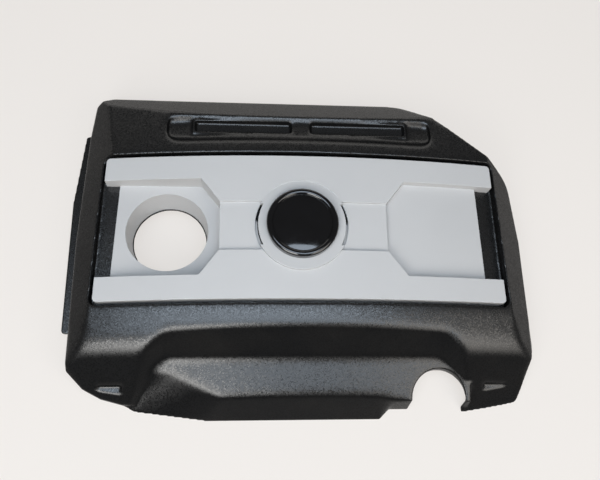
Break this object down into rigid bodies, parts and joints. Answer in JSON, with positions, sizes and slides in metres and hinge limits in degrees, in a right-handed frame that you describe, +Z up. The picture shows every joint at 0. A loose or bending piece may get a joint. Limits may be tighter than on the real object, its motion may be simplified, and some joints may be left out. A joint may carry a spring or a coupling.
{
  "type": "engine cover",
  "caption": "Moulded black engine cover with a crowned top, a grey trim panel with a round badge and an oil filler well, vent slots, a front ledge and a pipe notch, on rubber grommets.",
  "frame": {"origin": "middle of the cover's box, on the plane of its rim", "axes": "+X along the cover to the right seen from its front, +Y from front to back, +Z up"},
  "size_m": [0.486, 0.346, 0.0873],
  "materials": {
    "shell_plastic": "fine grained",
    "panel_plastic": "satin",
    "badge_plastic": "gloss",
    "nut_steel": "pressed spring steel",
    "foam": "open foam",
    "grommet_rubber": "matt"
  },
  "bodies": {
    "root": {"cover_shell": "shell_plastic", "centre_panel": "panel_plastic", "badge": "badge_plastic", "panel_push_nuts": "nut_steel", "badge_push_nuts": "nut_steel", "foam_pad": "foam", "grommet_front_left": "grommet_rubber", "grommet_front_right": "grommet_rubber", "grommet_rear_left": "grommet_rubber", "grommet_rear_right": "grommet_rubber"}
  },
  "joints": []
}
